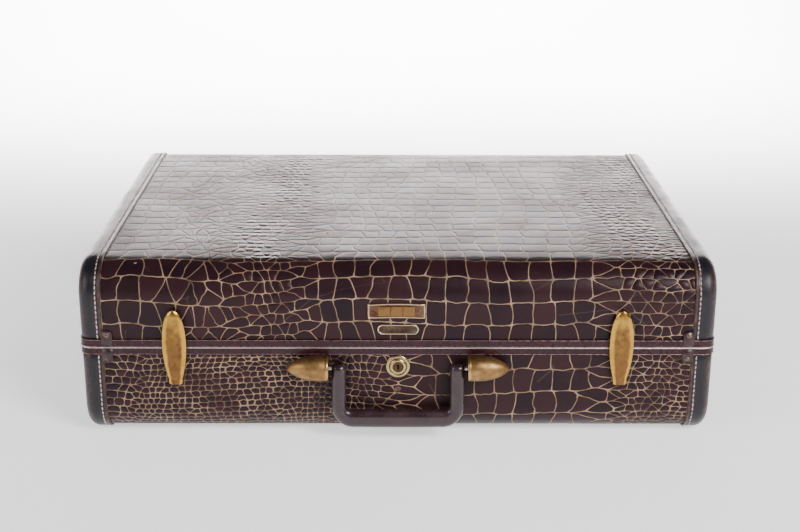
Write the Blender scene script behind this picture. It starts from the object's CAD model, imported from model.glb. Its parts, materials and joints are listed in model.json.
"""Looks of the travelling case: embossed cover, leather bindings, enamelled rims, brass hardware."""

import json
import math
import random

import bmesh
import bpy
from mathutils import Euler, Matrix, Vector
from mathutils.geometry import delaunay_2d_cdt


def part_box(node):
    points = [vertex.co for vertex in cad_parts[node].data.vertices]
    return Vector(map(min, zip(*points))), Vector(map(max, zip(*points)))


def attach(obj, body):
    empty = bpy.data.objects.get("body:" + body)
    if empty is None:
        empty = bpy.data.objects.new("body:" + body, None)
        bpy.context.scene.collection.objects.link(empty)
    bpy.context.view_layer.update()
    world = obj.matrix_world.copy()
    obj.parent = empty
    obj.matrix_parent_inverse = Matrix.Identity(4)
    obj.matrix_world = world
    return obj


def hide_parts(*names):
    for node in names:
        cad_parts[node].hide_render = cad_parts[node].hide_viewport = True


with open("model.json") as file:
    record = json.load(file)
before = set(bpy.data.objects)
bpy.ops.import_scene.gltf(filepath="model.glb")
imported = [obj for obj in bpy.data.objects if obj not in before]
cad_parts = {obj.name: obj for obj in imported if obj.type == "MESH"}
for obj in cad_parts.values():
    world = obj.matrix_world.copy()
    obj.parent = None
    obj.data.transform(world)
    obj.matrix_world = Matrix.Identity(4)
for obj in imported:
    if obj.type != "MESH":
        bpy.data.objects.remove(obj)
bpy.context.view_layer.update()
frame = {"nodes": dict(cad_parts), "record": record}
MM = 0.001

# ---------------------------------------------------------------- sizes read from the frame
binding_low, binding_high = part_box("base_binding_left")
lid_low, lid_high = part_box("lid_binding_left")
cover_low, cover_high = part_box("base_cover")
FRONT, BACK = binding_low.y, binding_high.y
HALF_LENGTH = -binding_low.x
COVER_END = cover_high.x
BASE_SEAT, LID_SEAT, TOP = binding_high.z, lid_low.z, lid_high.z
EDGE_RADIUS = 34 * MM
CORNER_RADIUS = 11 * MM
COVER_INSET = cover_low.y - FRONT
END_WINDOW = 24 * MM
BEND_STEPS = 12
MIDDLE = Vector((0, (FRONT + BACK) / 2, (BASE_SEAT + LID_SEAT) / 2))
SIDES = (("left", -1), ("right", 1))


# ---------------------------------------------------------------- mesh helpers
def finish_piece(obj, body, material, replaces=()):
    """Material, body, record slot and the CAD nodes that the piece stands for."""
    obj.data.materials.clear()
    obj.data.materials.append(material)
    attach(obj, body)
    if replaces:
        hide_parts(*replaces)
    return obj


def linked(name, data):
    """A new object in the scene."""
    obj = bpy.data.objects.new(name, data)
    bpy.context.scene.collection.objects.link(obj)
    return obj


def mesh_object(name, points, faces, edges=(), smooth=True, **layers):
    """A mesh object from points and faces, with float layers on its points."""
    mesh = bpy.data.meshes.new(name)
    mesh.from_pydata(points, edges, faces)
    for layer, values in layers.items():
        mesh.attributes.new(layer, "FLOAT", "POINT").data.foreach_set("value", values)
    mesh.polygons.foreach_set("use_smooth", [smooth] * len(mesh.polygons))
    mesh.update()
    return linked(name, mesh)


def outwards(obj):
    """All faces turned outwards, with doubles merged."""
    work = bmesh.new()
    work.from_mesh(obj.data)
    bmesh.ops.remove_doubles(work, verts=work.verts, dist=1e-6)
    bmesh.ops.recalc_face_normals(work, faces=work.faces)
    work.to_mesh(obj.data)
    work.free()
    return obj


def joined(name, objects):
    """Several objects as one mesh object."""
    work = bmesh.new()
    for obj in objects:
        work.from_mesh(obj.data)
        bpy.data.objects.remove(obj)
    mesh = bpy.data.meshes.new(name)
    work.to_mesh(mesh)
    work.free()
    mesh.polygons.foreach_set("use_smooth", [True] * len(mesh.polygons))
    return linked(name, mesh)


def made_plain(obj):
    """The object with its mesh as its modifiers leave it, and the modifiers gone."""
    graph = bpy.context.evaluated_depsgraph_get()
    mesh = bpy.data.meshes.new_from_object(obj.evaluated_get(graph), depsgraph=graph)
    obj.modifiers.clear()
    obj.data = mesh
    return obj


def quads(rows, wide, around=True, closed=False):
    """Faces between rows of points; a row may run around, and the last row may join the first."""
    starts = [(row * wide, (row + 1) % rows * wide) for row in range(rows if closed else rows - 1)]
    return [(here + i, here + (i + 1) % wide, there + (i + 1) % wide, there + i)
            for here, there in starts for i in range(wide if around else wide - 1)]


def swept(name, path, section, closed=False, **layers):
    """A closed section carried along a path; path gives place(offset, height) for each station."""
    count, around = len(path), len(section)
    points = [place(*corner) for place in path for corner in section]
    faces = quads(count, around, closed=closed)
    if not closed:
        faces += [tuple(range(around)), tuple((count - 1) * around + i for i in reversed(range(around)))]
    values = {layer: list(given) * count for layer, given in layers.items()}
    return outwards(mesh_object(name, points, faces, **values))


def stacked(name, points, count, **layers):
    """A closed piece from stacked outlines that have so many points each."""
    rows = len(points) // count
    ends = [tuple(range(count)), tuple((rows - 1) * count + i for i in range(count))]
    return outwards(mesh_object(name, points, quads(rows, count) + ends, **layers))


def circle(radius, count):
    """A round section with so many points."""
    return [(radius * math.cos(2 * math.pi * i / count), radius * math.sin(2 * math.pi * i / count))
            for i in range(count)]


# ---------------------------------------------------------------- the side profile of each half
class Profile:
    """The U-shaped side profile of the base or the lid, run from the front rim to the back rim."""

    def __init__(self, half):
        self.lid = half == "lid"
        self.seat = LID_SEAT if self.lid else BASE_SEAT
        self.ground = TOP if self.lid else 0
        self.away = 1 if self.lid else -1
        self.upright = abs(self.seat - self.ground) - EDGE_RADIUS
        self.flat = BACK - FRONT - 2 * EDGE_RADIUS

    def length(self, inset):
        """The length of the profile at an inset from the outside."""
        return 2 * self.upright + self.flat + math.pi * (EDGE_RADIUS - inset)

    def at(self, run, inset):
        """The (y, z) at a run along the profile, and its outward direction."""
        bend = (EDGE_RADIUS - inset) * math.pi / 2
        if run > self.length(inset) / 2:
            y, z, out_y, out_z = self.at(self.length(inset) - run, inset)
            return FRONT + BACK - y, z, -out_y, out_z
        if run < self.upright:
            return FRONT + inset, self.seat + self.away * run, -1.0, 0.0
        level = self.ground - self.away * EDGE_RADIUS
        if run < self.upright + bend:
            angle = (run - self.upright) / (EDGE_RADIUS - inset)
            out_y, out_z = -math.cos(angle), self.away * math.sin(angle)
            reach = EDGE_RADIUS - inset
            return FRONT + EDGE_RADIUS + out_y * reach, level + out_z * reach, out_y, out_z
        return (FRONT + EDGE_RADIUS + run - self.upright - bend, level + self.away * (EDGE_RADIUS - inset),
                0.0, float(self.away))

    def stations(self, step):
        """Runs at zero inset, close together round the two bends."""
        wall = (self.upright, max(2, round(self.upright / step)))
        bend = (EDGE_RADIUS * math.pi / 2, BEND_STEPS)
        runs, start = [], 0.0
        for length, count in (wall, bend, (self.flat, round(self.flat / step)), bend, wall):
            runs += [start + length * index / count for index in range(count)]
            start += length
        return runs + [start]

    def place(self, run, side):
        """A function that puts (distance along X, inset) at this run of the zero-inset profile."""
        y, z, out_y, out_z = self.at(run, 0)

        def put(across, inset):
            return (side * across, y - out_y * inset, z - out_z * inset)
        return put


PROFILES = {half: Profile(half) for half in ("base", "lid")}


# ---------------------------------------------------------------- embossed scales
ROW_HEIGHT = 22.5 * MM
STRETCH = 2.3
SHORT_EDGE = 1.5 * MM
CREASE_STEP = 5.5 * MM


def smoothstep(low, high, value):
    share = min(max((value - low) / (high - low), 0), 1)
    return share * share * (3 - 2 * share)


def scale_seeds(width, length, split, rng):
    """Seed points row by row; pitch, rows, lean and jitter come from the zone at each place."""
    rows = max(1, round(length / ROW_HEIGHT))
    high = length / rows
    start = -rng.uniform(0, 1) * 10 * MM
    strides = [rng.uniform(0.9, 1.1) for _ in range(300)]
    seeds = []
    for row in range(rows):
        left = start
        for stride in strides:
            if left > width:
                break
            pitch, up, lean, jitter = split(max(left, 0), (row + 0.5) * high)
            for step in range(up):
                slide = lean * ((step + 0.5) / up - 0.5) * high / pitch + 0.5 * (step % 2)
                p = left + (0.5 + slide + rng.uniform(-jitter, jitter)) * pitch
                q = (row + (step + 0.5 + rng.uniform(-jitter, jitter) * 0.8) / up) * high
                if 0.4 * MM < p < width - 0.4 * MM and 0.4 * MM < q < length - 0.4 * MM:
                    seeds.append((p, q))
            left += pitch * stride
    return seeds


def mirrored(seeds, width, length):
    """The seeds, then their reflections in the four borders, so that cells end on the borders."""
    near = 60 * MM
    left = [(-p, q) for p, q in seeds if p < near]
    right = [(2 * width - p, q) for p, q in seeds if p > width - near]
    across = seeds + left + right
    under = [(p, -q) for p, q in across if q < near]
    over = [(p, 2 * length - q) for p, q in across if q > length - near]
    return across + under + over


def circumcentre(a, b, c):
    """The point at the same distance from three points."""
    bx, by, cx, cy = b[0] - a[0], b[1] - a[1], c[0] - a[0], c[1] - a[1]
    twice = 2 * (bx * cy - by * cx)
    if abs(twice) < 1e-14:
        return ((a[0] + b[0] + c[0]) / 3, (a[1] + b[1] + c[1]) / 3)
    b2, c2 = bx * bx + by * by, cx * cx + cy * cy
    return (a[0] + (cy * b2 - by * c2) / twice, a[1] + (bx * c2 - cx * b2) / twice)


def voronoi(seeds, width, length):
    """Cells round the seeds as lists of corner numbers, with the corners' places."""
    every = [Vector((p, q * STRETCH)) for p, q in mirrored(seeds, width, length)]
    spots, _, triangles, origins, _, _ = delaunay_2d_cdt(every, [], [], 0, 1e-9)
    corners = [circumcentre(*(spots[i] for i in triangle)) for triangle in triangles]
    corners = [(p, q / STRETCH) for p, q in corners]
    boss = list(range(len(corners)))

    def root(number):
        while boss[number] != number:
            number = boss[number]
        return number

    sides = {}
    for number, triangle in enumerate(triangles):
        for index in range(3):
            sides.setdefault(frozenset((triangle[index], triangle[index - 1])), []).append(number)
    for pair in sides.values():
        if len(pair) == 2 and math.dist(corners[pair[0]], corners[pair[1]]) < SHORT_EDGE:
            boss[root(pair[1])] = root(pair[0])
    members = {}
    for number in range(len(corners)):
        members.setdefault(root(number), []).append(corners[number])
    merged = {key: (sum(p for p, _ in group) / len(group), sum(q for _, q in group) / len(group))
              for key, group in members.items()}
    around = {}
    for number, triangle in enumerate(triangles):
        for spot in triangle:
            around.setdefault(spot, []).append(number)
    cells = []
    for spot, olds in enumerate(origins):
        if not any(old < len(seeds) for old in olds):
            continue
        centre = spots[spot]
        ring = sorted(around[spot], key=lambda n: math.atan2(corners[n][1] * STRETCH - centre[1],
                                                             corners[n][0] - centre[0]))
        ring = [root(n) for n in ring]
        ring = [n for index, n in enumerate(ring) if n != ring[index - 1]]
        if len(ring) > 2:
            cells.append(ring)
    for key, (p, q) in merged.items():
        merged[key] = (min(max(p, 0), width), min(max(q, 0), length))
    return cells, merged


def crease_points(cells, corners, width, length, rng):
    """Boundary points shared by neighbouring cells, each cell as a ring of point numbers."""
    points, corner_numbers, edges, rings = [], {}, {}, []

    def corner(key):
        if key not in corner_numbers:
            corner_numbers[key] = len(points)
            points.append(corners[key])
        return corner_numbers[key]

    def edge(a, b):
        key = (min(a, b), max(a, b))
        if key not in edges:
            (p0, q0), (p1, q1) = points[key[0]], points[key[1]]
            long = math.hypot(p1 - p0, q1 - q0)
            count = max(1, math.ceil(long / CREASE_STEP))
            border = any(abs(c0 - end) < 1e-7 and abs(c1 - end) < 1e-7
                         for c0, c1, end in ((p0, p1, 0), (p0, p1, width), (q0, q1, 0), (q0, q1, length)))
            bow = 0 if border else rng.gauss(0, 0.055) * long
            wave = 0 if border or count < 3 else rng.gauss(0, 0.02) * long
            between = []
            for index in range(1, count):
                share = index / count
                push = bow * math.sin(math.pi * share) + wave * math.sin(3 * math.pi * share)
                between.append(len(points))
                points.append((p0 + (p1 - p0) * share - (q1 - q0) / long * push,
                               q0 + (q1 - q0) * share + (p1 - p0) / long * push))
            edges[key] = between
        return edges[key] if a < b else edges[key][::-1]

    for cell in cells:
        ring = []
        numbers = [corner(key) for key in cell]
        for index, number in enumerate(numbers):
            after = numbers[(index + 1) % len(numbers)]
            ring.append(number)
            ring += edge(number, after)
        rings.append(ring)
    return points, rings


def warp_of(width, length, rng, reach):
    """A smooth bend of the whole pattern that leaves the panel's borders where they are."""
    waves = [(rng.uniform(0.6, 1.7), rng.uniform(0.5, 1.6), rng.uniform(0, 6.3), rng.uniform(0, 6.3))
             for _ in range(5)]

    def warp(p, q):
        hold = smoothstep(0, 40 * MM, min(p, width - p)) * smoothstep(0, 30 * MM, min(q, length - q))
        move_p = move_q = 0
        for number, (a, b, c, d) in enumerate(waves):
            share = reach / (1 + 0.5 * number)
            move_p += share * math.sin(a * p * 22 + b * q * 17 + c)
            move_q += share * 0.7 * math.sin(b * p * 26 - a * q * 15 + d)
        return p + hold * move_p, q + hold * move_q
    return warp


# A scale from its crease to its middle: (inset, height, share of the crease's colour).
GROOVE = ((0.27 * MM, -0.20 * MM, 0.85), (0.85 * MM, -0.02 * MM, 0.0), (1.9 * MM, 0.03 * MM, 0.0))
GROOVE_DEPTH = -0.26 * MM
BELLY, CENTRE_HEIGHT = 0.07 * MM, 0.08 * MM
SMALL_SCALE = 6.5 * MM
FULL_GROOVE = 11 * MM


def edge_depths(border, middle):
    """How far a scale's middle lies from each point of its border, square to the border."""
    depths = []
    for index, spot in enumerate(border):
        before, after = border[index - 1], border[(index + 1) % len(border)]
        along = (after[0] - before[0], after[1] - before[1])
        inwards = (middle[0] - spot[0], middle[1] - spot[1])
        long = math.hypot(*along) or 1
        depths.append(max(abs(along[0] * inwards[1] - along[1] * inwards[0]) / long, 1e-5))
    return depths


def shrunk(border, middle, depths, inset):
    """A scale's border moved inwards and softened."""
    inner = []
    for spot, depth in zip(border, depths):
        share = min(inset / depth, 0.7)
        inner.append((spot[0] + (middle[0] - spot[0]) * share, spot[1] + (middle[1] - spot[1]) * share))
    return [((a[0] + 6 * b[0] + c[0]) / 8, (a[1] + 6 * b[1] + c[1]) / 8)
            for a, b, c in zip(inner[-1:] + inner[:-1], inner, inner[1:] + inner[:1])]


def scale_steps(border, middle):
    """The rings of one scale from its crease inwards, as (spots, height, crease colour)."""
    size = sum(math.dist(spot, middle) for spot in border) / len(border)
    depths, fineness = edge_depths(border, middle), min(max(size / FULL_GROOVE, 0.42), 1)
    steps = [(shrunk(border, middle, depths, inset * fineness), height, line)
             for inset, height, line in (GROOVE[:2] if size < SMALL_SCALE else GROOVE)]
    if size > 2 * SMALL_SCALE:
        halfway = [((p + middle[0]) / 2, (q + middle[1]) / 2) for p, q in steps[-1][0]]
        steps.append((halfway, BELLY, 0.0))
    return steps


def embossed(name, width, length, split, put, seed, reach=3.6 * MM):
    """A panel of embossed scales; put((x, run), height) gives a point of the finished surface."""
    rng = random.Random(seed)
    cells, corners = voronoi(scale_seeds(width, length, split, rng), width, length)
    flat, rings = crease_points(cells, corners, width, length, rng)
    warp = warp_of(width, length, rng, reach)
    flat = [warp(p, q) for p, q in flat]
    points = [put(spot, GROOVE_DEPTH) for spot in flat]
    crease, tone, faces = [1.0] * len(points), [0.5] * len(points), []
    for ring in rings:
        count, shade = len(ring), rng.random()
        border = [flat[number] for number in ring]
        middle = (sum(p for p, _ in border) / count, sum(q for _, q in border) / count)
        for spots, height, line in scale_steps(border, middle):
            here = list(range(len(points), len(points) + count))
            points += [put(spot, height) for spot in spots]
            crease += [line] * count
            tone += [shade] * count
            faces += [(ring[i], ring[(i + 1) % count], here[(i + 1) % count], here[i]) for i in range(count)]
            ring = here
        points.append(put(middle, CENTRE_HEIGHT))
        crease.append(0.0)
        tone.append(shade)
        faces += [(ring[i], ring[(i + 1) % count], len(points) - 1) for i in range(count)]
    return mesh_object(name, points, faces, crease=crease, tone=tone)


# How the scales change along each half: (place in mm, pitch in mm, rows, lean, jitter).
ZONES = {
    "lid": ((0, 24, 1, 0, 0.04), (38, 20, 1, 0, 0.05), (56, 12, 1, 0.1, 0.06), (75, 9.5, 1, 0.1, 0.08),
            (122, 9, 1, 0.2, 0.10), (132, 9, 2, 0.7, 0.12), (178, 10, 2, 0.7, 0.12), (192, 12, 1, 0.1, 0.06),
            (215, 15, 1, 0, 0.04), (300, 17, 1, 0, 0.04), (350, 23, 1, 0, 0.04), (450, 21, 1, 0, 0.05),
            (478, 13, 1, -0.1, 0.08), (492, 10.5, 2, -0.4, 0.14), (530, 9, 2, -0.6, 0.16),
            (600, 8.5, 3, -0.5, 0.18)),
    "base": ((0, 8, 3, 0.1, 0.14), (60, 7, 4, 0.5, 0.14), (120, 6.2, 4, 0.7, 0.15), (190, 6.4, 4, 0.6, 0.15),
             (245, 7.5, 3, 0.3, 0.18), (268, 9, 3, 0.1, 0.16), (284, 11, 2, 0, 0.10), (298, 14, 1, 0, 0.06),
             (325, 20, 1, 0, 0.04), (455, 19, 1, 0, 0.05), (474, 13, 1, 0, 0.08), (484, 10, 2, 0.1, 0.14),
             (500, 7.5, 3, 0.3, 0.18), (600, 6.5, 4, 0.4, 0.16)),
    "end": ((0, 9, 3, 0.3, 0.16), (100, 10, 2, 0.4, 0.14), (130, 21, 1, 0, 0.06), (290, 20, 1, 0, 0.06),
            (320, 9, 2, 0.4, 0.14), (600, 8, 3, 0.4, 0.16)),
}


def zoned(half):
    """How the scales of a panel vary: their pitch, rows, lean and jitter at a place."""
    def split(p, q):
        bend = 24 * math.sin(q * 9.5) + 14 * math.sin(q * 17 + 1.3) if q > 0.12 else 6 * math.sin(q * 22)
        across = min(max(p / MM + bend, 0), 599)
        before, after = next(pair for pair in zip(ZONES[half], ZONES[half][1:]) if across < pair[1][0])
        share = (across - before[0]) / (after[0] - before[0])
        pitch, rows = before[1] + (after[1] - before[1]) * share, (after if share > 0.5 else before)[2]
        if half == "base" and q > 0.15:
            pitch, rows = max(pitch, 11), min(rows, 2)
        return pitch * MM, rows, before[3], before[4]
    return split


def crown(profile, run):
    """How far the cover lies below the true bend, so that the flat falls away softly towards it."""
    run = min(run, profile.length(COVER_INSET) - run)
    into_bend = profile.upright + (EDGE_RADIUS - COVER_INSET) * math.pi / 2 - run
    rise, fall = smoothstep(-26 * MM, 7 * MM, into_bend), smoothstep(8 * MM, 50 * MM, into_bend)
    return 0.65 * MM * rise * (1 - fall)


def wrap_cover(half, material):
    """The embossed cover round the front, the flat and the back of one half."""
    profile = PROFILES[half]
    width, length = 2 * COVER_END, profile.length(COVER_INSET)

    def put(spot, height):
        y, z, out_y, out_z = profile.at(spot[1], COVER_INSET)
        height -= crown(profile, spot[1])
        return (spot[0] - COVER_END, y + out_y * height, z + out_z * height)

    obj = embossed(f"{half}_scales", width, length, zoned(half), put, seed=7 if half == "lid" else 12)
    finish_piece(face_out(obj), half, material, [f"{half}_cover"])


def face_out(obj, outside=True):
    """Turns an open panel's faces away from the case's middle, or towards it."""
    score = sum((face.center - MIDDLE).dot(face.normal) * face.area for face in obj.data.polygons)
    if (score < 0) if outside else (score > 0):
        obj.data.flip_normals()
    return obj


def end_cover(half, word, side, material):
    """The embossed panel in one end, inside its binding."""
    profile = PROFILES[half]
    width = BACK - FRONT - 2 * END_WINDOW + 4 * MM
    length = profile.upright + EDGE_RADIUS - END_WINDOW + 2 * MM
    plane = abs(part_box(f"{half}_end_cover_{word}")[0 if side < 0 else 1].x)

    def put(spot, height):
        return (side * (plane + height), FRONT + END_WINDOW - 2 * MM + spot[0],
                profile.seat + profile.away * spot[1])

    obj = embossed(f"{half}_end_scales_{word}", width, length, zoned("end"), put,
                   seed=31 + len(half) + side, reach=4 * MM)
    finish_piece(face_out(obj), half, material, [f"{half}_end_cover_{word}"])


# ---------------------------------------------------------------- bindings and their stitching
STITCH_X = HALF_LENGTH - 17.2 * MM
STITCH_INSET = 19 * MM
STITCH_WOBBLE = 0.12


def binding_section():
    """Half-section of the binding as (distance along X, inset), with its wear at each corner."""
    end, lip = HALF_LENGTH, COVER_END
    outer = [(lip, 1.3, 0), (lip, 0.2, 0.4), (lip + 0.25 * MM, -0.25, 0.9), (lip + 0.9 * MM, -0.5, 1.0),
             (lip + 1.7 * MM, -0.4, 0.8), (lip + 2.5 * MM, -0.02, 0.2), (lip + 3.2 * MM, 0.12, 0),
             (STITCH_X - 0.7 * MM, 0.18, 0.5), (STITCH_X, 0.40, 0.9), (STITCH_X + 0.7 * MM, 0.18, 0.6),
             (STITCH_X + 1.8 * MM, 0.02, 0.1), (end - CORNER_RADIUS - 1 * MM, 0, 0)]
    section = [(x, inset * MM, wear) for x, inset, wear in outer]
    for index in range(11):
        angle = math.pi / 2 * index / 10
        wear = math.sin(2 * angle) ** 2 * 0.55
        section.append((end - CORNER_RADIUS * (1 - math.sin(angle)),
                        CORNER_RADIUS * (1 - math.cos(angle)), wear))
    section += [(end, 16 * MM, 0), (end - 0.02 * MM, STITCH_INSET - 0.6 * MM, 0),
                (end - 0.3 * MM, STITCH_INSET, 0), (end - 0.02 * MM, STITCH_INSET + 0.6 * MM, 0),
                (end, 21.6 * MM, 0.1), (end + 0.35 * MM, 22.4 * MM, 0.8), (end + 0.3 * MM, 23.3 * MM, 0.9),
                (end - 0.3 * MM, END_WINDOW, 0.3), (end - 1.6 * MM, END_WINDOW, 0),
                (end - 2 * MM, 12 * MM, 0), (end - 4.7 * MM, 4.8 * MM, 0), (end - 12 * MM, 2 * MM, 0)]
    return section


def bindings(material):
    """Four leather bindings, each swept round its half's profile."""
    section = binding_section()
    for half, profile in PROFILES.items():
        for word, side in SIDES:
            path = [profile.place(run, side) for run in profile.stations(14 * MM)]
            obj = swept(f"{half}_leather_binding_{word}", path, [(x, inset) for x, inset, _ in section],
                        wear=[wear for _, _, wear in section])
            finish_piece(obj, half, material, [f"{half}_binding_{word}"])


def new_tree(name, kind, inputs, output):
    """An empty node tree with named sockets: the values it is given, and its output."""
    tree = bpy.data.node_groups.new(name, kind)
    for label, sort, *default in inputs:
        socket = tree.interface.new_socket(label, in_out="INPUT", socket_type="NodeSocket" + sort)
        if default:
            socket.default_value = default[0]
    tree.interface.new_socket(output[0], in_out="OUTPUT", socket_type="NodeSocket" + output[1])
    return tree, tree.nodes.new("NodeGroupInput").outputs, tree.nodes.new("NodeGroupOutput").inputs[0]


def node(tree, kind, sockets=(), pick=0, **settings):
    """An output of a new node, from its settings and what goes into its sockets."""
    made = tree.nodes.new(kind)
    for label, value in settings.items():
        setattr(made, label, value)
    for label, value in dict(sockets).items():
        if isinstance(value, bpy.types.NodeSocket):
            tree.links.new(value, made.inputs[label])
        else:
            made.inputs[label].default_value = value
    return made.outputs[pick]


def maths(tree, operation, first, second):
    """The result of a sum on two values."""
    return node(tree, "ShaderNodeMath", {0: first, 1: second}, operation=operation)


def stitch_tree():
    """Stitches laid end to end along the edges of a mesh."""
    tree, given, out = new_tree("stitch_row", "GeometryNodeTree", (
        ("Geometry", "Geometry"), ("Pitch", "Float", 4 * MM), ("Stitch Length", "Float", 3 * MM),
        ("Thread Radius", "Float", 0.4 * MM), ("Thread", "Material")), ("Geometry", "Geometry"))
    curve = node(tree, "GeometryNodeMeshToCurve", {"Mesh": given["Geometry"]})
    spaced = node(tree, "GeometryNodeResampleCurve", {"Curve": curve, "Length": given["Pitch"]}, mode="LENGTH")
    bead = node(tree, "GeometryNodeMeshUVSphere", {"Segments": 8, "Rings": 6, "Radius": 1})
    half, thick = maths(tree, "MULTIPLY", given["Stitch Length"], 0.5), given["Thread Radius"]
    size = node(tree, "ShaderNodeCombineXYZ", {"X": half, "Y": thick, "Z": thick})
    wobble = node(tree, "FunctionNodeRandomValue", {"Min": (-STITCH_WOBBLE,) * 3, "Max": (STITCH_WOBBLE,) * 3,
                                                    "Seed": 5}, data_type="FLOAT_VECTOR")
    heading = node(tree, "ShaderNodeVectorMath", {0: node(tree, "GeometryNodeInputTangent"), 1: wobble})
    turn = node(tree, "FunctionNodeAlignRotationToVector", {"Vector": heading}, axis="X")
    copies = node(tree, "GeometryNodeInstanceOnPoints", {"Points": spaced, "Instance": bead,
                                                         "Rotation": turn, "Scale": size})
    real = node(tree, "GeometryNodeRealizeInstances", {"Geometry": copies})
    tree.links.new(node(tree, "GeometryNodeSetMaterial", {"Geometry": real, "Material": given["Thread"]}), out)
    return tree


def path_mesh(name, paths):
    """Edges along several lists of points."""
    points, edges = [], []
    for path in paths:
        start = len(points)
        points += path
        edges += [(start + i, start + i + 1) for i in range(len(path) - 1)]
    return mesh_object(name, points, [], edges)


def grown(obj, tree, **settings):
    """The object after a geometry node tree with these settings, as a plain mesh."""
    modifier = obj.modifiers.new(tree.name, "NODES")
    modifier.node_group = tree
    sockets = {item.name: item.identifier for item in tree.interface.items_tree if item.in_out == "INPUT"}
    for label, value in settings.items():
        modifier[sockets[label.replace("_", " ")]] = value
    return made_plain(obj)


def stitching(thread):
    """White thread along both edges of every binding."""
    tree = stitch_tree()
    for half, profile in PROFILES.items():
        paths = []
        for side in (-1, 1):
            runs = profile.stations(10 * MM)[1:-1]
            paths.append([profile.place(run, side)(STITCH_X, 0.02 * MM) for run in runs])
            paths.append([profile.place(run, side)(HALF_LENGTH + 0.02 * MM, STITCH_INSET) for run in runs])
        obj = grown(path_mesh(f"{half}_stitching", paths), tree, Pitch=4.9 * MM, Stitch_Length=4.1 * MM,
                    Thread_Radius=0.58 * MM, Thread=thread)
        finish_piece(obj, half, thread)


# ---------------------------------------------------------------- rims
RIM_HEIGHT = 7.2 * MM


def plan_loop(grow, z, radius):
    """Stations round the case in plan: each a function of (outwards, height) from the loop."""
    reach_x, low, high = HALF_LENGTH + grow - radius, FRONT - grow + radius, BACK + grow - radius
    path = []
    for centre_x, centre_y, start in ((reach_x, low, -90), (reach_x, high, 0), (-reach_x, high, 90),
                                      (-reach_x, low, 180)):
        for index in range(9):
            angle = math.radians(start + 90 * index / 8)
            path.append((centre_x, centre_y, math.cos(angle), math.sin(angle)))

    def station(cx, cy, ox, oy):
        def put(out, rise):
            return (cx + ox * (radius + out), cy + oy * (radius + out), z + rise)
        return put
    return [station(*spot) for spot in path]


def rim_beads(polished, rubbed):
    """Raised beads along the edges of both rims, the one beside the seam rubbed bright on the base."""
    proud = -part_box("base_rim")[0].x - HALF_LENGTH
    for half in PROFILES:
        low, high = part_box(f"{half}_rim")
        top = high.z if half == "lid" else low.z + RIM_HEIGHT
        for upper, level in ((False, low.z + 0.35 * MM), (True, top - 0.35 * MM)):
            seam = upper == (half == "base")
            bright = seam and half == "base"
            section = circle(0.42 * MM * (1.25 if bright else 0.8), 8)
            bead = swept(f"{half}_rim_bead_{'seam' if seam else 'edge'}",
                         plan_loop(proud, level, CORNER_RADIUS + proud), section, closed=True)
            finish_piece(bead, half, polished if bright else rubbed)


# ---------------------------------------------------------------- hardware
NOTCH_HALF = 2.3
CLIP_HALF = 5.3
ARM, GRIP, HANDLE_BEND = 14.3 * MM, 18.2 * MM, 13.5 * MM


def latch_half_width(drop, length, widest):
    """Half the width of a latch lever at a drop below its tip."""
    shoulder, neck, toe = 0.478 * length, 0.92 * length, 0.948 * length
    if drop < shoulder:
        return widest * (1 - ((shoulder - drop) / shoulder) ** 2.4) ** 0.5
    if drop < neck:
        return widest * (1 - 0.43 * ((drop - shoulder) / (neck - shoulder)) ** 1.9)
    end = max((drop - toe) / (length - toe), 0)
    return widest * 0.57 * max(1 - end ** 3, 0) ** (1 / 3)


def lever_face(low, high, back):
    """The crowned face of a lever, worn bright along its two edges and its tip."""
    shares = (0.2, 0.4, 0.52, 0.64, 0.76, 0.88, 0.97, 1)
    across = [-share for share in reversed(shares)] + [0, *shares]
    middle, length, depth = (low.x + high.x) / 2, high.z - low.z, back - low.y
    drops = [length * (1 - math.cos(math.pi * index / 44)) / 2 for index in range(1, 44)]
    points, wear = [], []
    for drop in drops:
        half = latch_half_width(drop, length, (high.x - low.x) / 2)
        ends = math.sqrt(min(1, 4.2 * math.sin(math.pi * drop / length)))
        facet = 0.5 + 0.5 * smoothstep(0, 0.35, drop / length)
        for share in across:
            slope = abs(share) ** (1.6 + 1.4 * facet)
            rise = 0.30 + 0.70 * (1 - slope) * (0.05 + 0.95 * ends)
            points.append((middle + half * share, back - depth * rise, high.z - drop))
            rubbed = smoothstep(0.45, 0.95, abs(share)) + 0.4 * (1 - smoothstep(0.02, 0.5, drop / length))
            wear.append(min(1, 0.1 + rubbed))
    count, wide = len(drops), len(across)
    rim = list(range(wide)) + [r * wide + wide - 1 for r in range(1, count)]
    rim += [(count - 1) * wide + c for c in reversed(range(wide - 1))]
    rim += [r * wide for r in reversed(range(1, count - 1))]
    start, total = len(points), len(rim)
    points += [(points[number][0], back, points[number][2]) for number in rim]
    wear += [1.0] * total
    faces = quads(count, wide, around=False)
    faces += [(rim[i], start + i, start + (i + 1) % total, rim[(i + 1) % total]) for i in range(total)]
    faces.append(tuple(range(start, start + total)))
    return outwards(mesh_object("lever_face", points, faces, wear=wear))


def cut_away(obj, low, high):
    """A box cut out of a closed piece."""
    corners = [(x, y, z) for x in (low[0], high[0]) for y in (low[1], high[1]) for z in (low[2], high[2])]
    box = outwards(mesh_object("notch", corners, [(0, 1, 3, 2), (4, 6, 7, 5), (0, 4, 5, 1), (2, 3, 7, 6),
                                                  (0, 2, 6, 4), (1, 5, 7, 3)]))
    cutter = obj.modifiers.new("notch", "BOOLEAN")
    cutter.operation, cutter.object = "DIFFERENCE", box
    made_plain(obj)
    bpy.data.objects.remove(box)
    return obj


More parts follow.
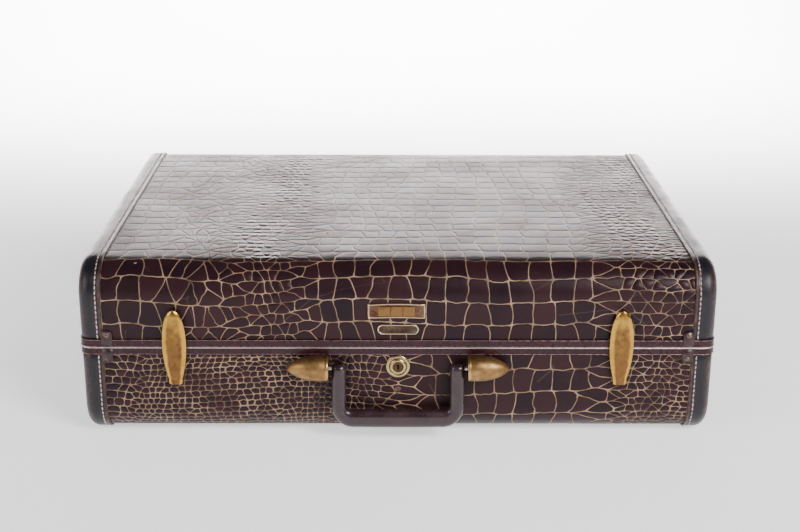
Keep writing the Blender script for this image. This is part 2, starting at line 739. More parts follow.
def latch_knuckles(middle, axis_y, axis_z):
    """The two knuckles that a lever swings on."""
    knuckles = []
    for near, far in ((-5.8, -NOTCH_HALF), (NOTCH_HALF, 5.8)):
        ends = [lambda y, z, x=middle + x * MM: (x, axis_y + y, axis_z + z) for x in (near, far)]
        knuckles.append(swept("knuckle", ends, circle(2.2 * MM, 16), wear=[1.0] * 16))
    return knuckles


def latch_hook(middle, back, keeper_low, keeper_high):
    """The hook behind a lever, a little in front of its keeper."""
    tip, top = keeper_low.y - 0.3 * MM, keeper_high.z
    section = [(back - 0.5 * MM, top - 4.4 * MM), (tip, top - 4.4 * MM), (tip, top - 2.6 * MM),
               (tip - 0.5 * MM, top - 2.1 * MM), (back - 0.5 * MM, top - 2.1 * MM)]
    ends = [lambda y, z, x=middle + x * MM: (x, y, z) for x in (-3, 3)]
    return swept("hook", ends, section, wear=[1.0] * len(section))


def latch_levers(material):
    """Both pointed levers, each notched for the ear of the plate that carries its pin."""
    for word, _ in SIDES:
        low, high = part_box(f"latch_lever_{word}")
        pin_low, pin_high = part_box(f"latch_pin_{word}")
        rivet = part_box(f"latch_rivet_{word}")[1].y
        middle = (low.x + high.x) / 2
        axis_y, axis_z = (pin_low.y + pin_high.y) / 2, (pin_low.z + pin_high.z) / 2
        back, notch = rivet + 3.4 * MM, NOTCH_HALF * MM
        face = cut_away(lever_face(Vector((low.x, rivet, low.z)), high, back),
                        (middle - notch, axis_y - notch, axis_z - 4 * MM),
                        (middle + notch, axis_y + 4 * MM, axis_z + 2.4 * MM))
        hook = latch_hook(middle, back, *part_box(f"latch_keeper_{word}"))
        obj = joined(f"latch_lever_{word}_crowned", [face, *latch_knuckles(middle, axis_y, axis_z), hook])
        finish_piece(obj, f"latch_lever_{word}", material, [f"latch_lever_{word}"])


def turned(name, profile, axis, place, steps=40, **layers):
    """A closed piece turned on a lathe from (radius, height) points, along an axis from a place."""
    along = Vector(axis)
    across = Vector((0, 0, 1)) if abs(along.z) < 0.5 else Vector((1, 0, 0))
    up = along.cross(across)
    path = []
    for index in range(steps):
        angle = 2 * math.pi * index / steps
        out = across * math.cos(angle) + up * math.sin(angle)
        path.append(lambda radius, height, out=out: tuple(Vector(place) + out * radius + along * height))
    return swept(name, path, profile, closed=True, **layers)


def bullet_posts(material):
    """The turned posts at each side of the handle, their open ends rounded over."""
    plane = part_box("base_cover")[0].y
    for word, side in SIDES:
        low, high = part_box(f"handle_post_{word}")
        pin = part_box(f"handle_pin_{word}")
        near = low.x if side > 0 else high.x
        far = high.x if side > 0 else low.x
        radius, length = (high.z - low.z) / 2, abs(far - near)
        place = (near, (pin[0].y + pin[1].y) / 2, (low.z + high.z) / 2)
        straight = 14 * MM
        profile = [(0.0001, 1.0), (0.42, 1.0), (0.86, 0.3), (0.93, 0.0), (0.975, 0.3), (1.0, 1.3), (1.0, 2.6),
                   (0.985, 3.0), (1.0, 3.4)]
        profile = [(r * radius, h * MM) for r, h in profile]
        for index in range(1, 13):
            share = index / 12
            taper = max(1 - share ** 2.3, 0) ** 0.72
            profile.append((max(radius * taper, 0.0001 * MM),
                            straight * 0.6 + (length - straight * 0.6) * share))
        obj = turned(f"handle_post_{word}_turned", profile, (side, 0, 0), place,
                     wear=[0.2] * 3 + [1.0] * 3 + [0.3] * (len(profile) - 6))
        for point in obj.data.vertices:
            point.co.y = min(point.co.y, plane)
        finish_piece(obj, "base", material, [f"handle_post_{word}"])


def lock_rosette(material):
    """Concentric rings round the lock's plug."""
    low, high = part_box("lock_rosette")
    radius, plug = (high.x - low.x) / 2, (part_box("lock_plug")[1].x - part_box("lock_plug")[0].x) / 2
    place = ((low.x + high.x) / 2, high.y, (low.z + high.z) / 2)
    steps = ((0, 0), (0, 0.8), (0.6, 1.4), (2.0, 1.8), (2.9, 1.7), (3.2, 1.2), (3.5, 1.2), (3.9, 2.1),
             (4.8, 2.7), (6.1, 2.9))
    rings = [(radius - inwards * MM, height) for inwards, height in steps]
    rings += [(plug + 0.3 * MM, 2.7), (plug + 0.1 * MM, 2.2), (plug + 0.1 * MM, 0)]
    wear = [0.3, 0.5, 0.8, 1, 0.7, 0, 0, 0.6, 1, 0.9, 0.5, 0, 0]
    profile = [(r, h * MM) for r, h in rings]
    obj = turned("lock_rosette_rings", profile, (0, -1, 0), place, steps=56, wear=wear)
    finish_piece(obj, "base", material, ["lock_rosette"])


def handle_stations(low, high, sill):
    """Down one arm, round its bend and along the grip: (x, z, outwards, half width, thickness)."""
    left, right = low.x + ARM / 2, high.x - ARM / 2
    drop, length = high.z - sill - HANDLE_BEND, right - left - 2 * HANDLE_BEND
    stations = [(left, high.z, (1, 0), ARM / 2 * 0.80, 0.62)]
    for index in range(1, 15):
        stations.append((left, high.z - drop * (index / 14), (1, 0), ARM / 2, 1))
    for index in range(1, 12):
        angle, share = math.pi / 2 * index / 12, smoothstep(0, 1, index / 12)
        stations.append((left + HANDLE_BEND * (1 - math.cos(angle)), sill + HANDLE_BEND * (1 - math.sin(angle)),
                         (math.cos(angle), math.sin(angle)), (ARM + (GRIP - ARM) * share) / 2, 1))
    mirror = [(left + right - x, z, (-out[0], out[1]), half, thick)
              for x, z, out, half, thick in reversed(stations)]
    for index in range(17):
        belly = math.sin(math.pi * (index / 16))
        stations.append((left + HANDLE_BEND + length * (index / 16), sill - 0.1 * MM * belly, (0, 1),
                         GRIP / 2 + 0.25 * MM * belly, 1))
    return stations + mirror


def smooth_handle(material):
    """The moulded handle: a rounded bar swept down, along and up, broader along the grip."""
    low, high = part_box("handle")
    deep, middle_y = (high.y - low.y) / 2, (low.y + high.y) / 2
    path = [lambda a, b, x=x, z=z, out=out, half=half, thick=thick:
            (x + out[0] * a * half, middle_y + b * deep * thick, z + out[1] * a * half)
            for x, z, out, half, thick in handle_stations(low, high, low.z + GRIP / 2)]
    ring = circle(1, 28)
    section = [(math.copysign(abs(c) ** 0.85, c), math.copysign(abs(d) ** 0.95, d)) for c, d in ring]
    obj = swept("handle_moulded", path, section, wear=[0.10 + 0.30 * max(0, c * -d) for c, d in ring])
    finish_piece(obj, "handle", material, ["handle"])


def clip_tab(place, across, out, up):
    """One tab with a rounded top; it is thicker over the rim than above it."""
    outline = [(-CLIP_HALF, 1.2), (CLIP_HALF, 1.2), (CLIP_HALF, 7.6)]
    outline += [(CLIP_HALF * x, 12.2 + 4.2 * z) for x, z in circle(1, 16)[:9]] + [(-CLIP_HALF, 7.6)]
    points = []
    for lift, narrowing in ((0, 0), (0.75, 0), (1, 0.05)):
        for x, z in outline:
            thick = (1.5 if z < 8 else 1.1) * MM
            points.append((across * place.x + x * MM * (1 - narrowing), place.y + out * thick * lift,
                           place.z + up * z * MM))
    return stacked("tab", points, len(outline), smooth=False, wear=[0.5] * len(points))


def corner_clips(material):
    """Tabs that hold the ends of each rim, front and back."""
    seam = (BASE_SEAT + LID_SEAT) / 2
    for half, profile in PROFILES.items():
        middle_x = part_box(f"{half}_corner_clips")[1].x - 5.25 * MM
        tabs = [clip_tab(Vector((middle_x, face, seam)), side, out, profile.away)
                for face, out in ((FRONT, -1), (BACK, 1)) for side in (-1, 1)]
        finish_piece(joined(f"{half}_clip_tabs", tabs), half, material, [f"{half}_corner_clips"])


def plaque(name, cad_node, material, outline, border):
    """A plate with a raised border round a sunken field; outline gives its edge from two half sizes."""
    low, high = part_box(cad_node)
    reach, rise, thick = (high.x - low.x) / 2, (high.z - low.z) / 2, high.y - low.y
    points, wear = [], []
    for shrink, lift, rub in ((0, 0, 0.2), (0, 0.7, 0.8), (0.35 * MM, 1.0, 1.0), (border - 0.3 * MM, 1.0, 1.0),
                              (border, 0.45, 0.0), (border + 0.4 * MM, 0.45, 0.0)):
        edge = outline(reach - shrink, rise - shrink)
        points += [((low.x + high.x) / 2 + x, high.y - thick * lift, (low.z + high.z) / 2 + z) for x, z in edge]
        wear += [rub] * len(edge)
    obj = stacked(name, points, len(edge), wear=wear)
    finish_piece(obj, "lid", material, [cad_node])


def bowed_outline(reach, rise):
    """A plate with bowed long edges and clipped corners."""
    bow = [(-reach + 2 * reach * i / 12, (1 - (2 * i / 12 - 1) ** 2) * 0.9 * MM) for i in range(13)]
    top = [(-x, rise - 0.9 * MM + lift) for x, lift in bow]
    bottom = [(x, -rise + 0.7 * lift) for x, lift in bow]
    return bottom + top


def ticket_outline(reach, rise):
    """A long plate whose ends step in and draw to blunt points."""
    step, nick = 3.4 * MM, 0.9 * MM
    right = [(reach - step, -rise), (reach - nick, -rise * 0.62), (reach, 0), (reach - nick, rise * 0.62),
             (reach - step, rise)]
    half = right + [(x, rise) for x in (reach * 0.55, 0, -reach * 0.55)]
    return half + [(-x, -z) for x, z in half]


# ---------------------------------------------------------------- inside
LINING_INSET = 7.75 * MM
LINING_END = HALF_LENGTH - 12.3 * MM
LINING_STEP = 11 * MM
# The notch in each half's lining for the lock: (half width, level).
LOCK_WINDOWS = {"base": (15.6 * MM, 57.4 * MM), "lid": (9.6 * MM, 109.6 * MM)}
LINING_START = {"base": 2 * MM, "lid": 6 * MM}


def panel(name, columns, rows, put, skip=lambda x, run: False):
    """A sheet of cloth over a grid with its windows left out, and its area."""
    points = [put(x, run) for run in rows for x in columns]
    cells = [((x0 + x1) / 2, (r0 + r1) / 2) for r0, r1 in zip(rows, rows[1:])
             for x0, x1 in zip(columns, columns[1:])]
    faces = quads(len(rows), len(columns), around=False)
    obj = mesh_object(name, points, [face for face, cell in zip(faces, cells) if not skip(*cell)])
    area = sum(face.area for face in obj.data.polygons)
    return face_out(obj, outside=False), area


def even(low, high, step, extra=()):
    """Evenly spread places from low to high, with some exact ones put in."""
    count = max(1, round((high - low) / step))
    places = [low + (high - low) * index / count for index in range(count + 1)]
    kept = [place for place in places if all(abs(place - more) > 1.5 * MM for more in extra)]
    return sorted(kept + list(extra))


def puckers_of(half):
    """How far the glued cloth of one half stands off its board at a place."""
    rng = random.Random(51 + len(half))
    waves = [(rng.uniform(8, 30), rng.uniform(6, 26), rng.uniform(0, 6.3)) for _ in range(6)]

    def puckers(x, run):
        height = sum(math.sin(a * x * 3 + b * run * 3 + c) for a, b, c in waves) / len(waves)
        edge = smoothstep(0, 22 * MM, min(run - LINING_START[half], LINING_END - abs(x)))
        return 0.7 * MM * max(0, height) * edge
    return puckers


def lining_wrap(half, profile, runs, puckers, material):
    """Cloth glued round the front, the flat and the back of one half, cut out round the lock."""
    window_x, window_z = LOCK_WINDOWS[half]

    def put(x, run):
        y, z, out_y, out_z = profile.at(run, 0)
        inset = LINING_INSET + puckers(x, run)
        return (x, y - out_y * inset, z - out_z * inset)

    def in_window(x, run):
        y, z, _, _ = profile.at(run, 0)
        beyond = z > window_z if half == "base" else z < window_z
        return abs(x) < window_x and beyond and y < 0

    columns = even(-LINING_END, LINING_END, LINING_STEP, (-window_x, window_x))
    obj, _ = panel(f"{half}_lining_wrap", columns, runs, put, in_window)
    finish_piece(obj, half, material, [f"{half}_lining"])
    length = profile.length(0) - 2 * LINING_START[half] - 2 * LINING_INSET


def lining_end(half, word, side, profile, runs, puckers, material):
    """Cloth glued on one end of one half."""
    def put(share, run):
        y, z, out_y, out_z = profile.at(run, 0)
        near, z = y - out_y * LINING_INSET, z - out_z * LINING_INSET
        across = near + (FRONT + BACK - 2 * near) * share
        return (side * (LINING_END - 0.3 * MM - puckers(across, run) * 0.5), across, z)

    lowest = profile.upright + EDGE_RADIUS * math.pi / 2 + 0.1 * MM
    levels, shares = [run for run in runs if run <= lowest], [index / 36 for index in range(37)]
    obj, area = panel(f"{half}_lining_{word}", shares, levels, put)
    finish_piece(obj, half, material)


def linings(material):
    """The cloth inside each half, puckered a little by age."""
    for half, profile in PROFILES.items():
        start, total, puckers = LINING_START[half], profile.length(0), puckers_of(half)
        sill = abs(LOCK_WINDOWS[half][1] - profile.seat)
        runs = [run for run in profile.stations(LINING_STEP)
                if start + 2 * MM < run < total - start - 2 * MM and abs(run - sill) > 1.5 * MM]
        runs = sorted(runs + [start, sill, total - start])
        lining_wrap(half, profile, runs, puckers, material)
        for word, side in SIDES:
            lining_end(half, word, side, profile, runs, puckers, material)


def lid_pocket(material):
    """A wide pocket sewn to the lid's lining on three sides and gathered on elastic at its mouth."""
    low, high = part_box("lid_pocket")
    gathers, rng = 66, random.Random(77)
    shifts = [rng.uniform(-0.5, 0.5) for _ in range(gathers + 2)]
    width, length = high.x - low.x, high.y - low.y

    def put(x, y):
        along = (x - low.x) / width * gathers
        here = along + shifts[int(along)] * 0.6
        mouth = smoothstep(low.y + 60 * MM, low.y, y) + 0.45 * smoothstep(high.y - 45 * MM, high.y, y) + 0.22
        ends = smoothstep(0, 10 * MM, min(x - low.x, high.x - x)) * smoothstep(0, 4 * MM, high.y - y)
        elastic = math.exp(-((y - low.y - 9 * MM) / (4 * MM)) ** 2)
        fold = (0.5 + 0.5 * math.sin(2 * math.pi * here)) * 2.6 * MM * min(mouth, 1) * (1 - 0.55 * elastic)
        sag = 3.2 * MM * math.sin(math.pi * (x - low.x) / width) ** 0.5
        sag *= math.sin(math.pi * (y - low.y) / length * 0.8 + 0.45)
        return (x, y, high.z - 0.5 * MM - ends * (fold + max(sag, 0)))

    columns = even(low.x, high.x, width / gathers / 8)
    rows = [low.y + length * (index / 44) ** 1.3 for index in range(45)]
    obj, _ = panel("lid_gathered_pocket", columns, rows, put)
    finish_piece(obj, "lid", material, ["lid_pocket"])


def packing_straps(material):
    """Two woven straps across the floor, each with its tail drawn through a buckle."""
    buckle_low, buckle_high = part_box("strap_buckles")
    for word, _ in SIDES:
        low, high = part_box(f"packing_strap_{word}")
        middle, half, thick = (low.x + high.x) / 2, (high.x - low.x) / 2, high.z - low.z
        inner = half - 0.5 * MM
        section = [(-half, 0.5), (-inner, 0.0), (inner, 0.0), (half, 0.5), (inner, 1.0), (-inner, 1.0)]
        places = [low.y + (high.y - low.y) * index / 40 for index in range(41)]
        flat = [lambda x, lift, y=y: (middle + x, y, low.z + 0.15 * MM + lift * (thick - 0.3 * MM))
                for y in places]
        centre = (buckle_low.y + buckle_high.y) / 2
        over = [lambda x, lift, y=centre + y * MM, z=high.z + z * MM:
                (middle + x * 0.97, y, z + lift * 0.9 * MM)
                for y, z in ((-8.0, -0.7), (-6.0, 0.3), (-3.2, 2.6), (-1.6, 3.1), (1.6, 3.1), (3.2, 2.6),
                             (6.0, 0.3), (8.0, -0.7))]
        strap = joined(f"packing_strap_{word}_woven",
                       [swept("strap", flat, section), swept("tail", over, section)])
        finish_piece(strap, "base", material, [f"packing_strap_{word}"])


# ---------------------------------------------------------------- material helpers
PLACE = ("Vector", "Vector", (0, 0, 0))


def noise(tree, place, scale, detail=4, roughness=0.55):
    """Cloudy noise at a place."""
    return node(tree, "ShaderNodeTexNoise", {"Vector": place, "Scale": scale, "Detail": detail,
                                             "Roughness": roughness})


def cracks(tree, place, scale):
    """The distance from the edges of random cells."""
    return node(tree, "ShaderNodeTexVoronoi", {"Vector": place, "Scale": scale}, feature="DISTANCE_TO_EDGE")


def patches_group():
    """Soft uneven patches, for tone, patina and dust."""
    tree, given, out = new_tree("uneven_patches", "ShaderNodeTree", (
        PLACE, ("Scale", "Float", 30), ("Low", "Float", 0.4), ("High", "Float", 0.65)), ("Mask", "Float"))
    cloud = noise(tree, given["Vector"], given["Scale"], 6, 0.62)
    tree.links.new(node(tree, "ShaderNodeMapRange", {"Value": cloud, "From Min": given["Low"],
                                                     "From Max": given["High"]}), out)
    return tree


def grain_group():
    """Fine pores and creases of leather, as a height."""
    tree, given, out = new_tree("leather_grain", "ShaderNodeTree", (PLACE, ("Scale", "Float", 900)),
                                ("Height", "Float"))
    pores = cracks(tree, given["Vector"], given["Scale"])
    tree.links.new(maths(tree, "ADD", pores, noise(tree, given["Vector"], given["Scale"], 3)), out)
    return tree


def scratch_group():
    """Thin scratches in three directions, as a mask."""
    tree, given, out = new_tree("scratches", "ShaderNodeTree", (
        PLACE, ("Scale", "Float", 14), ("Width", "Float", 0.02)), ("Mask", "Float"))
    total = None
    for turn, stretch in ((0.5, 9), (1.9, 7), (2.7, 12)):
        lay = node(tree, "ShaderNodeMapping", {"Vector": given["Vector"], "Rotation": (0, 0, turn),
                                               "Scale": (1, stretch, 1)})
        thin = maths(tree, "LESS_THAN", cracks(tree, lay, given["Scale"]), given["Width"])
        marks = maths(tree, "MULTIPLY", thin, maths(tree, "GREATER_THAN", noise(tree, lay, 9, 2), 0.6))
        total = marks if total is None else maths(tree, "MAXIMUM", total, marks)
    tree.links.new(total, out)
    return tree


GROUPS = {"patches": patches_group(), "grain": grain_group(), "scratches": scratch_group()}


def shade(tint, strength):
    """A colour made darker or lighter."""
    return tuple(min(c * strength, 1) for c in tint)


class Finish:
    """A material being built: its nodes, its Principled shader and short ways to add to it."""

    def __init__(self, name, **settings):
        self.material = bpy.data.materials.new(name)
        self.material.use_nodes = True
        self.tree = self.material.node_tree
        self.shader = self.tree.nodes["Principled BSDF"]
        for label, value in settings.items():
            self.shader.inputs[label.replace("_", " ")].default_value = value
        self.place = node(self.tree, "ShaderNodeTexCoord", pick="Object")

    def patches(self, scale, low, high):
        """Soft patches between two levels of noise."""
        return self.group("patches", Scale=scale, Low=low, High=high)

    def group(self, key, **settings):
        """One of the shared effects, at the piece's own coordinates."""
        return node(self.tree, "ShaderNodeGroup", {"Vector": self.place, **settings}, node_tree=GROUPS[key])

    def layer(self, name):
        """A layer of values painted on the mesh's points."""
        return node(self.tree, "ShaderNodeAttribute", pick="Fac", attribute_name=name)

    def ramp(self, source, *stops):
        """A colour ramp from (place, colour or grey) stops."""
        out = node(self.tree, "ShaderNodeValToRGB", {"Fac": source})
        elements = out.node.color_ramp.elements
        while len(elements) < len(stops):
            elements.new(0.5)
        for element, (place, tint) in zip(elements, stops):
            element.position = place
            element.color = (*tint, 1) if isinstance(tint, tuple) else (tint, tint, tint, 1)
        return out

    def scaled(self, value, gain, lift=None):
        """A value times a gain, with a lift added where one is given."""
        product = maths(self.tree, "MULTIPLY", value, gain)
        return product if lift is None else self.add(product, lift)

    def add(self, first, second):
        return maths(self.tree, "ADD", first, second)

    def mix(self, share, first, second):
        """Two colours mixed; each is a socket or a plain colour."""
        first, second = ((*tint, 1) if isinstance(tint, tuple) else tint for tint in (first, second))
        return node(self.tree, "ShaderNodeMix", {0: share, 6: first, 7: second}, pick=2, data_type="RGBA")

    def feed(self, label, source):
        self.tree.links.new(source, self.shader.inputs[label])

    def noise(self, scale, detail=4, stretch=(1, 1, 1)):
        """Noise at the piece's own coordinates, stretched along them."""
        place = self.place
        if stretch != (1, 1, 1):
            place = node(self.tree, "ShaderNodeMapping", {"Vector": place, "Scale": stretch})
        return noise(self.tree, place, scale, detail)

    def bump(self, height, strength, distance):
        self.feed("Normal", node(self.tree, "ShaderNodeBump", {"Height": height, "Strength": strength,
                                                               "Distance": distance}))


# ---------------------------------------------------------------- materials
def crocodile(name):
    """Dark aubergine scales with tan creases, varnished and scuffed."""
    look = Finish(name, Specular_IOR_Level=0.2, Specular_Tint=(1.0, 0.90, 0.92, 1),
                  Sheen_Weight=0.05, Sheen_Roughness=0.35, Sheen_Tint=(1.0, 0.72, 0.74, 1))
    tone = look.ramp(look.layer("tone"), (0.0, (0.008, 0.003, 0.006)), (0.55, (0.014, 0.005, 0.009)),
                     (1.0, (0.024, 0.008, 0.011)))
    cloud, faint = look.patches(16, 0.35, 0.7), look.patches(42, 0.30, 0.60)
    scuff = look.group("scratches", Scale=5, Width=0.0022)
    scale_tint = look.mix(look.scaled(cloud, 0.5), tone, (0.036, 0.010, 0.010))
    line_tint = look.mix(faint, (0.10, 0.058, 0.036), (0.37, 0.245, 0.155))
    edge = look.add(look.layer("crease"), look.scaled(look.noise(900, 3), 0.25))
    line = look.ramp(edge, (0.58, 0.0), (0.92, 1.0))
    tint = look.mix(look.scaled(look.scaled(faint, 0.35, 0.62), line), scale_tint, line_tint)
    look.feed("Base Color", look.mix(look.scaled(scuff, 0.09), tint, (0.30, 0.22, 0.20)))
    rough = look.add(look.scaled(line, 0.12, 0.32), look.scaled(cloud, 0.14))
    look.feed("Roughness", look.add(rough, look.scaled(scuff, 0.2)))
    look.bump(look.add(look.noise(240, 3, (5, 1, 1)), look.scaled(look.noise(1400, 2), 0.3)), 0.2, 0.0006)
    return look.material


def leather(name, dark, worn, rough=0.3, coat=0.25):
    """Smooth polished leather that turns to a second colour where it is rubbed."""
    look = Finish(name, Coat_Weight=coat, Coat_Roughness=0.16, Specular_IOR_Level=0.3)
    cloud, fleck = look.patches(45, 0.4, 0.62), look.patches(260, 0.5, 0.62)
    rub = look.scaled(look.scaled(cloud, 0.7, 0.25), look.layer("wear"))
    body = look.mix(look.scaled(cloud, 0.5), dark, shade(dark, 1.7))
    tint = look.mix(look.scaled(rub, fleck), body, worn)
    look.feed("Base Color", look.mix(look.scaled(rub, 0.35), tint, worn))
    look.feed("Roughness", look.scaled(cloud, 0.16, rough))
    look.bump(look.group("grain", Scale=1500), 0.12, 0.0004)
    return look.material


def enamel(name, tint):
    """Enamelled metal with fine lines drawn along it and chips to bare metal."""
    look = Finish(name, Specular_IOR_Level=0.25)
    cloud, chips = look.patches(70, 0.42, 0.7), look.patches(420, 0.70, 0.74)
    base = look.mix(cloud, tint, shade(tint, 1.6))
    look.feed("Base Color", look.mix(chips, base, (0.45, 0.35, 0.33)))
    look.feed("Metallic", look.scaled(chips, 0.9))
    look.feed("Roughness", look.scaled(cloud, 0.2, 0.22))
    look.bump(look.noise(900, 2, (0.02, 0.02, 1)), 0.1, 0.0003)
    return look.material


def metal(name, bright, patina, share=0.5, rough=0.28, scale=120):
    """Bare metal under a broken patina, with fine pits."""
    look = Finish(name, Metallic=1.0)
    cloud = look.patches(scale, 0.5 - share * 0.25, 0.78 - share * 0.25)
    pits = look.patches(900, 0.62, 0.7)
    look.feed("Base Color", look.mix(look.scaled(pits, 0.6), look.mix(cloud, bright, patina),
                                     shade(patina, 0.4)))
    look.feed("Roughness", look.scaled(cloud, 0.3, rough))
    look.bump(look.add(look.noise(700, 3), pits), 0.12, 0.0003)
    return look.material


def worn_metal(name, bright, patina, rough=0.22, spots=260):
    """Metal polished where it is rubbed and left brown with patina in its hollows."""
    look = Finish(name, Metallic=1.0)
    cloud, spot = look.patches(110, 0.36, 0.66), look.patches(spots, 0.50, 0.62)
    rub = look.ramp(look.add(look.layer("wear"), look.scaled(cloud, 0.35)), (0.35, 0.0), (0.85, 1.0))
    dull = look.mix(look.scaled(spot, 0.6), patina, shade(patina, 0.45))
    stain = look.scaled(look.patches(60, 0.45, 0.70), 0.45)
    look.feed("Base Color", look.mix(stain, look.mix(rub, dull, bright), shade(bright, 0.4)))
    look.feed("Roughness", maths(look.tree, "SUBTRACT", rough + 0.2, look.scaled(rub, 0.2)))
    look.bump(look.add(look.noise(600, 3), spot), 0.1, 0.0003)
    return look.material


def cloth(name, tint, fine=1500):
    """Satin-weave cloth: crossing threads, uneven dye and a soft sheen."""
    look = Finish(name, Roughness=0.75, Sheen_Weight=0.3, Sheen_Roughness=0.4)
    sockets = {"Vector": look.place, "Scale": fine / 6.3, "Distortion": 0.6}
    threads = [node(look.tree, "ShaderNodeTexWave", sockets, pick="Fac", bands_direction=axis) for axis in "XY"]
    weave = look.scaled(*threads)
    base = look.mix(look.patches(12, 0.35, 0.7), tint, shade(tint, 0.72))
    look.feed("Base Color", look.mix(weave, base, shade(tint, 1.25)))
    look.bump(weave, 0.4, 0.0004)
    return look.material


def wood(name):
    """Plain plywood edge and face."""
    look = Finish(name, Roughness=0.6)
    rings = look.noise(40, 5, (1, 9, 9))
    look.feed("Base Color", look.ramp(rings, (0.3, (0.36, 0.22, 0.11)), (0.7, (0.55, 0.37, 0.2))))
    look.bump(rings, 0.2, 0.0005)
    return look.material


def waxed_thread(name):
    """Waxed off-white thread, twisted and a little soiled."""
    look = Finish(name, Roughness=0.7)
    look.feed("Base Color", look.mix(look.patches(140, 0.45, 0.7), (0.62, 0.55, 0.52), (0.22, 0.13, 0.12)))
    look.bump(look.noise(2600, 1), 0.3, 0.0003)
    return look.material


# Each finish: its name, how it is made, its colours and then its other values.
MATERIALS = {name: make(name, *values) for name, make, *values in (
    ("crocodile_vinyl", crocodile),
    ("binding_leather", leather, (0.009, 0.008, 0.011), (0.16, 0.055, 0.045), 0.3, 0.05),
    ("handle_leather", leather, (0.019, 0.007, 0.010), (0.10, 0.05, 0.06), 0.25, 0.5),
    ("clip_leather", leather, (0.020, 0.008, 0.009), (0.10, 0.05, 0.05), 0.3, 0.1),
    ("maroon_enamel", enamel, (0.022, 0.006, 0.009)),
    ("clip_enamel", enamel, (0.026, 0.010, 0.013)),
    ("bare_edge", metal, (0.95, 0.80, 0.80), (0.60, 0.36, 0.38), 0.3, 0.3, 300),
    ("rubbed_edge", metal, (0.42, 0.25, 0.26), (0.12, 0.05, 0.06), 0.5, 0.35, 260),
    ("aged_brass", metal, (0.42, 0.27, 0.10), (0.16, 0.09, 0.04), 0.5, 0.34),
    ("dull_rivet", metal, (0.22, 0.15, 0.13), (0.05, 0.03, 0.03), 0.6, 0.34),
    ("copper_plate", metal, (0.72, 0.40, 0.18), (0.30, 0.12, 0.06), 0.6),
    ("plated_steel", metal, (0.62, 0.60, 0.55), (0.26, 0.22, 0.18), 0.4),
    ("lever_brass", worn_metal, (0.55, 0.31, 0.06), (0.21, 0.10, 0.038), 0.24, 190),
    ("post_brass", worn_metal, (0.50, 0.31, 0.12), (0.24, 0.13, 0.05), 0.3),
    ("ring_brass", worn_metal, (0.50, 0.36, 0.18), (0.05, 0.03, 0.015), 0.26),
    ("plate_copper", worn_metal, (0.70, 0.50, 0.32), (0.11, 0.045, 0.026), 0.26),
    ("plate_brass", worn_metal, (0.70, 0.58, 0.38), (0.07, 0.04, 0.03)),
    ("plug_brass", worn_metal, (0.30, 0.20, 0.09), (0.10, 0.06, 0.03), 0.3),
    ("plywood", wood),
    ("lining_cloth", cloth, (0.42, 0.29, 0.19)),
    ("pocket_cloth", cloth, (0.40, 0.27, 0.18)),
    ("strap_webbing", cloth, (0.30, 0.20, 0.13), 3000),
    ("white_thread", waxed_thread),
)}


# CAD nodes whose finish is duller or warmer than their slot's own.
CAD_FINISHES = {"base_clip_rivets": "dull_rivet", "lid_clip_rivets": "dull_rivet", "lock_plug": "plug_brass",
                "lock_rivet": "dull_rivet", "latch_rivet_left": "post_brass", "latch_rivet_right": "post_brass",
                "latch_plate_left": "plug_brass", "latch_plate_right": "plug_brass",
                "monogram_tiles": "post_brass", "plate_pins": "plate_brass"}


def dress_cad():
    """Every CAD node takes its slot's finish."""
    slots = {row["node"]: row["material_slot"] for row in frame["record"]["subparts"]}
    for name, obj in frame["nodes"].items():
        obj.data.materials.clear()
        obj.data.materials.append(MATERIALS[CAD_FINISHES.get(name, slots[name])])


# ---------------------------------------------------------------- stage, light and camera
def stage():
    """A pale floor that curves up into a low pale backdrop."""
    width, near, far, rise, bend = 20.0, -30.0, 2.3, 1.0, 0.85
    angles = [math.pi / 2 * index / 12 for index in range(1, 13)]
    curve = [(far - bend + bend * math.sin(angle), bend * (1 - math.cos(angle))) for angle in angles]
    line = [(near, 0.0), (far - bend, 0.0), *curve, (far, rise)]
    points = [(x, y, z - 0.2 * MM) for y, z in line for x in (-width, width)]
    floor = mesh_object("floor", points, quads(len(line), 2, around=False))
    paint = Finish("floor_paint", Roughness=0.9, Emission_Color=(1, 1, 1, 1), Emission_Strength=0.9)
    mottle = paint.ramp(paint.noise(3, 2), (0.3, (0.84, 0.84, 0.85)), (0.7, (0.90, 0.90, 0.90)))
    paint.feed("Base Color", mottle)
    floor.data.materials.append(paint.material)


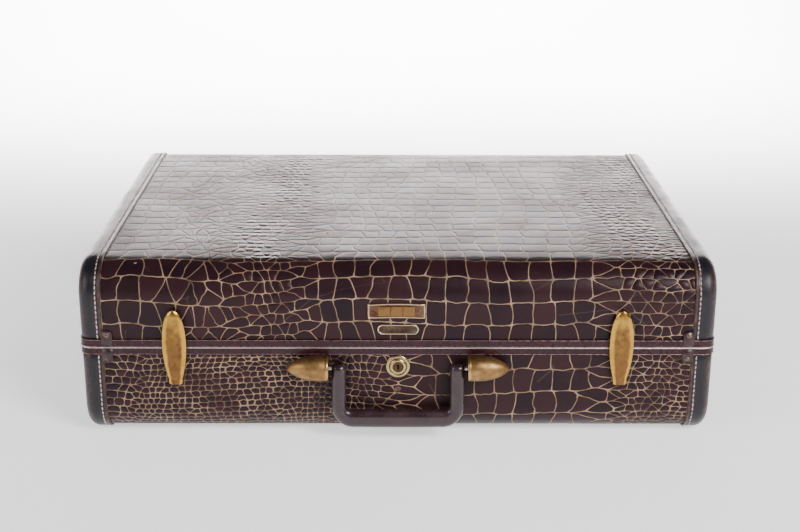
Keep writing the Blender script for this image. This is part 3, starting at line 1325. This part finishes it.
def lights():
    """A bright floor and backdrop, a soft key from the front right and a weak fill from the left."""
    bpy.context.scene.world = world = bpy.data.worlds.new("studio")
    world.use_nodes = True
    sky = world.node_tree.nodes["Background"].inputs
    sky["Color"].default_value, sky["Strength"].default_value = (0.93, 0.95, 1.0, 1), 0.16
    for name, place, aim, size, power, spread, tint in (
            ("key", (1.5, -1.9, 1.7), (0.1, -0.2, 0.1), 1.1, 36, 120, (1, 1, 1)),
            ("fill", (-2.0, -1.4, 1.1), (0, 0, 0.1), 1.4, 15, 140, (1, 1, 1)),
            ("backdrop", (0, 1.3, 2.2), (0, 2.5, 0.5), 2.4, 190, 80, (1, 0.90, 0.90)),
            ("floor_behind", (0, 2.0, 1.0), (0, 2.2, 0), 2.4, 110, 90, (1, 1, 1))):
        lamp = bpy.data.lights.new(name, "AREA")
        lamp.energy, lamp.size, lamp.spread, lamp.color = power, size, math.radians(spread), tint
        obj = linked(name, lamp)
        obj.location = place
        obj.rotation_euler = (Vector(aim) - Vector(place)).to_track_quat("-Z", "Y").to_euler()


def camera():
    """The eye, in front of the handle side and looking down on the lid."""
    lens = bpy.data.cameras.new("camera")
    lens.sensor_width, lens.lens = 36, 63.12
    bpy.context.scene.camera = eye = linked("camera", lens)
    eye.location = (-9.6 * MM, FRONT - 1248.7 * MM, 606.9 * MM)
    eye.rotation_euler = Euler([math.radians(angle) for angle in (90 - 18.98, -0.25, -0.42)], "XYZ")


camera()
lights()
stage()
dress_cad()
for half in PROFILES:
    wrap_cover(half, MATERIALS["crocodile_vinyl"])
    for word, side in SIDES:
        end_cover(half, word, side, MATERIALS["crocodile_vinyl"])
bindings(MATERIALS["binding_leather"])
stitching(MATERIALS["white_thread"])
rim_beads(MATERIALS["bare_edge"], MATERIALS["rubbed_edge"])
latch_levers(MATERIALS["lever_brass"])
bullet_posts(MATERIALS["post_brass"])
lock_rosette(MATERIALS["ring_brass"])
smooth_handle(MATERIALS["handle_leather"])
corner_clips(MATERIALS["clip_leather"])
plaque("monogram_plate", "monogram_frame", MATERIALS["plate_copper"], bowed_outline, 1.5 * MM)
plaque("maker_plate_blank", "maker_plate", MATERIALS["plate_brass"], ticket_outline, 1.2 * MM)
linings(MATERIALS["lining_cloth"])
lid_pocket(MATERIALS["pocket_cloth"])
packing_straps(MATERIALS["strap_webbing"])
